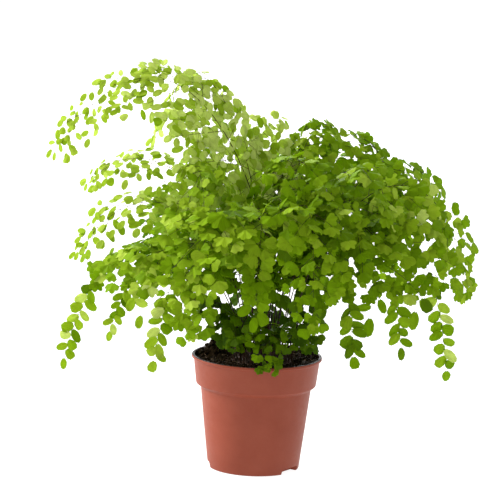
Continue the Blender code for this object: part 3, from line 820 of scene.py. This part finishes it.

# Fern blade: thin living leaf, matt above and a little waxy, lit through by light from behind, with fine
# forked veins that run out from its foot about 0.7 mm apart. Young leaflets are a yellower, paler green;
# low tones, which carry the painted shade near the crown, give darker greens.
leaf_material, tree = new_tree("living_fern_blade")
uv = add_node(tree, "UVMap")
split = add_node(tree, "SeparateXYZ", {"Vector": uv.outputs["UV"]})
tone = add_node(tree, "Attribute", attribute_name="tone", attribute_type="GEOMETRY")
veins = add_node(tree, "Math", {0: split.outputs["X"], 1: 2 * math.pi * 15}, operation="MULTIPLY")
veins = add_node(tree, "Math", {0: veins.outputs[0]}, operation="SINE")
ridge = add_node(
    tree,
    "MapRange",
    {"Value": veins.outputs[0], "From Min": 0.35, "From Max": 1.0, "To Min": 0.0, "To Max": 1.0},
)
place = add_node(tree, "TexCoord").outputs["Object"]
mottle = add_node(tree, "TexNoise", {"Vector": place, "Scale": 210, "Detail": 3})
greens = add_node(tree, "ValToRGB", {"Fac": tone.outputs["Fac"]})
greens.color_ramp.elements[0].position = 0.0
greens.color_ramp.elements[0].color = linear("#3c5a03")
greens.color_ramp.elements[1].position = 1.0
greens.color_ramp.elements[1].color = linear("#e0f282")
for position, green in ((0.5, "#8ab207"), (0.75, "#a8c628"), (0.88, "#cce45a")):
    greens.color_ramp.elements.new(position).color = linear(green)
darker = add_node(
    tree,
    "MapRange",
    {"Value": mottle.outputs["Fac"], "From Min": 0.3, "From Max": 0.7, "To Min": 0.88, "To Max": 1.08},
)
mottled = add_node(
    tree,
    "Mix",
    {6: greens.outputs["Color"], 7: darker.outputs["Result"], "Factor": 1.0},
    data_type="RGBA",
    blend_type="MULTIPLY",
)
vein_fade = add_node(tree, "Math", {0: ridge.outputs["Result"], 1: 0.22}, operation="MULTIPLY")
veined = add_node(
    tree,
    "Mix",
    {6: mottled.outputs[2], 7: linear("#3d5a08"), "Factor": vein_fade.outputs[0]},
    data_type="RGBA",
)
bump = add_node(tree, "Bump", {"Height": ridge.outputs["Result"], "Strength": 0.25, "Distance": 0.0003})
blade = add_node(
    tree,
    "BsdfPrincipled",
    {
        "Base Color": veined.outputs[2],
        "Roughness": 0.6,
        "IOR": 1.42,
        "Specular IOR Level": 0.1,
        "Normal": bump.outputs["Normal"],
    },
)
glows = add_node(tree, "ValToRGB", {"Fac": tone.outputs["Fac"]})
glows.color_ramp.elements[0].position = 0.0
glows.color_ramp.elements[0].color = linear("#86a818")
glows.color_ramp.elements[1].position = 1.0
glows.color_ramp.elements[1].color = linear("#c6ce98")
for position, green in ((0.5, "#a6c014"), (0.75, "#b6cc3a"), (0.88, "#bac862")):
    glows.color_ramp.elements.new(position).color = linear(green)
glow_tint = add_node(
    tree,
    "Mix",
    {6: veined.outputs[2], 7: glows.outputs["Color"], "Factor": 0.6},
    data_type="RGBA",
)
glow = add_node(tree, "BsdfTranslucent", {"Color": glow_tint.outputs[2], "Normal": bump.outputs["Normal"]})
mixed = add_node(tree, "MixShader", {0: 0.5, 1: blade.outputs[0], 2: glow.outputs[0]})
add_node(tree, "OutputMaterial", {"Surface": mixed.outputs[0]})

# Stalk skin: hard and smooth, black with a brown cast and a dull polish.
stalk_material, tree = new_tree("polished_black_fern_stalk")
place = add_node(tree, "TexCoord").outputs["Object"]
streaks = add_node(tree, "TexNoise", {"Vector": place, "Scale": 120, "Detail": 2})
blacks = add_node(tree, "ValToRGB", {"Fac": streaks.outputs["Fac"]})
blacks.color_ramp.elements[0].position = 0.35
blacks.color_ramp.elements[0].color = linear("#20120b")
blacks.color_ramp.elements[1].position = 0.75
blacks.color_ramp.elements[1].color = linear("#442817")
shader = add_node(
    tree,
    "BsdfPrincipled",
    {"Base Color": blacks.outputs["Color"], "Roughness": 0.45, "Specular IOR Level": 0.12},
)
add_node(tree, "OutputMaterial", {"Surface": shader.outputs[0]})

# Stalks taper from these radii. Leaflets stand a share of their width apart, and broad blanks are scaled by
# a share of it. Side stalks past the branched length branch again. The drooping tips on the right have
# larger leaflets, and leaves within the inner reach of the crown get shade painted into their green.
MAIN_RADIUS = 0.62 * MM
SIDE_RADIUS = 0.21 * MM
HAIR_RADIUS = 0.14 * MM
STALK_STEPS = 40
PITCH_SHARE = 0.5
BRANCHED_LENGTH = 30 * MM
LEAF_STALK = 2.4 * MM
FAN_LENGTH_SHARE = 0.74
RIGHT_TIP_SHARE = 1.18
LEAF_LIFT = 1.0 * MM
INNER_REACH = 100 * MM


def side_stalks(frond, draw):
    """Every side stalk of a frond.

    They are the numbered ones, with a partner a little above most of them, short ones that bear a drooping
    tip's leaflets one by one, and the low ones.
    """
    step = (0.97 - STIPE) / frond.count
    numbered = []
    partners = []
    for number in range(frond.count):
        t, side, length, angle, droop = frond.side_stalk(number)
        if t > frond.chain:
            for part, way in ((0, side), (0.33, -side), (0.67, side)):
                place = min(t + part * step, 0.985)
                lean = math.radians(draw.uniform(58, 76))
                gap = frond.chain_gap + draw.uniform(-0.5, 0.5)
                partners.append((place, way, gap * MM, lean, 0))
            continue
        numbered.append((t, side, length, angle, droop))
        if draw.random() > frond.full * (0.4 + 1.2 * (t - STIPE) / (1 - STIPE)):
            continue
        swing = draw.uniform(-0.12, 0.12)
        least = frond.spread * draw.uniform(0.28, 0.4) if frond.tip > 170 * MM and t < 0.88 else 5 * MM
        length = max(length * draw.uniform(0.8, 1.05), least)
        partners.append((min(t + 0.45 * step, 0.98), -side, length, angle + swing, droop))
    low_ones = []
    t, side = STIPE - 0.5 * step, -1
    while t > frond.low:
        length = frond.spread * draw.uniform(0.6, 0.95)
        low_ones.append((t, side, length, math.radians(draw.uniform(58, 78)), draw.uniform(0.2, 0.45)))
        t -= step * 0.6
        side = -side
    return numbered + partners + low_ones


def leaf_place(frond, base, heading, normal, width, draw):
    """A leaflet's cut, and the matrix that sets it at its foot, facing the light and tilted by chance."""
    outward = Vector((base.x - CROWN.x, base.y, 0)).normalized()
    droop = ramp(base.z, 220 * MM, 110 * MM)
    slender = frond.airy or (droop > 0.4 and frond.chain < 1)
    hang = Vector((0, -0.25, -0.2)) if slender else outward * 0.4 + Vector((0, -0.25, -0.35))
    heading = (heading + hang * (1 - droop) * draw.uniform(0.6, 1.2)).normalized()
    open_side = -0.3
    if not frond.airy:
        open_side = -0.4 + 0.4 * min(0, frond.outward.y) - 0.5 * droop * (frond.outward.y < 0.2)
    opened = outward * (0 if frond.airy else 0.3) + Vector((0, open_side, 0))
    facing = (normal + UP * 0.1 + opened).normalized()
    across = heading.cross(facing).normalized()
    facing = across.cross(heading)
    tilt = Quaternion(heading, math.radians(draw.gauss(0, 13 if frond.airy else 16)))
    nod = Quaternion(across, math.radians(draw.gauss(-4, 12)))
    turn = Quaternion(facing, math.radians(draw.gauss(0, 10)))
    spin = turn @ nod @ tilt
    axes = [spin @ across, spin @ heading, spin @ facing]
    base = base + axes[2] * LEAF_LIFT
    matrix = Matrix([[*(axis[row] for axis in axes), base[row]] for row in range(3)] + [[0, 0, 0, 1]])
    if slender:
        cut_number = BROAD_CUTS + draw.randrange(len(FAN_CUTS) - BROAD_CUTS)
        longer = RIGHT_TIP_SHARE if frond.chain < 1 and frond.outward.x > 0 else 1
        return cut_number, matrix @ Matrix.Scale(width * longer, 4)
    return draw.randrange(BROAD_CUTS), matrix @ Matrix.Scale(width * FAN_LENGTH_SHARE, 4)


def leaf_tone(frond, base, draw):
    """How fresh a leaflet's green is, from 0 to 1: darker low down near the crown with painted shade, and
    changed by chance.
    """
    inner = max(0, 1 - math.hypot(base.x - CROWN.x, 0.4 * base.y) / INNER_REACH)
    far = ramp(math.hypot(base.x - CROWN.x, base.y), 80 * MM, 160 * MM)
    chance = draw.gauss(0, 0.14 - 0.1 * far if frond.airy else 0.1 + 0.06 * far)
    depth = 0.3 if frond.chain < 1 else 0.9
    # Painted shade: leaflets low down near the crown get a darker green.
    shade = 0 if frond.young else depth * inner * ramp(base.z, 230 * MM, 140 * MM)
    if frond.airy:
        shade += 0.17 * far
    elif base.x > 0:
        shade -= 0.07 * far
    return min(1, max(0, frond.freshness_and_shade - shade + chance))


def dress_branch(start, heading, normal, length, width, strands, leaves, draw):
    """A hair-fine branch with alternate leaflets and one at its tip."""
    left = normal.cross(heading).normalized()
    steps = max(1, round(length / (width * PITCH_SHARE)))
    sag = UP * (-0.18 * length)
    line = []
    for step in range(steps + 1):
        share = step / steps
        line.append(start + heading * length * share + sag * share * share)
    strands.append([(place, SIDE_RADIUS * 0.75 - 0.1 * MM * i / steps) for i, place in enumerate(line)])
    side = draw.choice((1, -1))
    for place in line[1:-1]:
        lean = math.radians(draw.uniform(50, 72))
        way = (heading * math.cos(lean) + left * side * math.sin(lean)).normalized()
        foot = place + way * LEAF_STALK
        strands.append([(place, HAIR_RADIUS), (foot, HAIR_RADIUS)])
        leaves.append((foot, way, normal, width * draw.uniform(0.85, 1.1)))
        side = -side
    leaves.append((line[-1], heading, normal, width * draw.uniform(0.9, 1.15)))


def dress_frond(index, row):
    """The finished stalks and leaflets of one frond."""
    frond = Frond(row)
    draw = random.Random(900 + index)
    main = [(Vector((frond.foot.x, frond.foot.y, STALK_FOOT)), MAIN_RADIUS)]
    thin = 0.6 if frond.young else 1.0
    for step in range(STALK_STEPS + 1):
        t = step / STALK_STEPS
        main.append((frond.point(t), MAIN_RADIUS * thin * (1 - 0.8 * t**0.8)))
    strands = []
    leaves = []
    for number, stalk in enumerate(side_stalks(frond, draw)):
        t, _, length, _, _ = stalk
        normal = frond.frame(t)[3]
        width = frond.width * min(1.05, 1.05 - 0.3 * (t - STIPE) / (1 - STIPE))
        steps = max(1, round(length / (width * PITCH_SHARE)))
        line = [side_point(frond, stalk, i / steps) for i in range(steps + 1)]
        strands.append(
            [(place, SIDE_RADIUS * (1.15 - 0.5 * i / steps)) for i, (place, _) in enumerate(line)]
        )
        side = 1 if number % 2 else -1
        for i, (place, tangent) in enumerate(line[1:-1], 1):
            share = i / steps
            left = normal.cross(tangent).normalized()
            lean = math.radians(draw.uniform(48, 68))
            way = (tangent * math.cos(lean) + left * side * math.sin(lean)).normalized()
            branch = 0.42 * length * (1 - share)
            if length > BRANCHED_LENGTH and branch > width * 0.8:
                dress_branch(place, way, normal, branch, width, strands, leaves, draw)
            else:
                foot = place + way * LEAF_STALK
                strands.append([(place, HAIR_RADIUS), (foot, HAIR_RADIUS)])
                leaves.append((foot, way, normal, width * draw.uniform(0.85, 1.12)))
            side = -side
        place, tangent = line[-1]
        leaves.append((place, tangent, normal, width * draw.uniform(0.9, 1.15)))
    ends = ((0.955, 1), (0.97, -1), (1, 0))
    for t, side in ends[2:] if frond.chain < 1 else ends:
        place, tangent, left, normal = frond.frame(min(t, 0.99))
        way = (tangent * (1 if side == 0 else 0.5) + left * side).normalized()
        leaves.append((frond.point(t) + way * 1 * MM, way, normal, frond.width * 0.72))
    places = []
    tones = []
    for base, way, normal, width in leaves:
        places.append(leaf_place(frond, base, way, normal, width, draw))
        tones.append(leaf_tone(frond, base, draw))
    blades = joined_copies(f"leaflets_{index:02d}", fan_shapes, places, tones)
    blades.data.materials.clear()
    blades.data.materials.append(leaf_material)
    stem = strand_curve(f"stalk_{index:02d}", [main], 1)
    hairs = strand_curve(f"side_stalks_{index:02d}", strands, 0)
    bpy.ops.object.select_all(action="DESELECT")
    hairs.select_set(True)
    stem.select_set(True)
    bpy.context.view_layer.objects.active = stem
    bpy.ops.object.join()
    bpy.ops.object.shade_smooth()
    stem.data.materials.clear()
    stem.data.materials.append(stalk_material)
    for piece in (blades, stem):
        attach(piece, "root")
        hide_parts(f"frond_{index:02d}")
    return len(leaves)


total = sum(dress_frond(index, row) for index, row in enumerate(FRONDS, 1))
print("leaflets:", total)
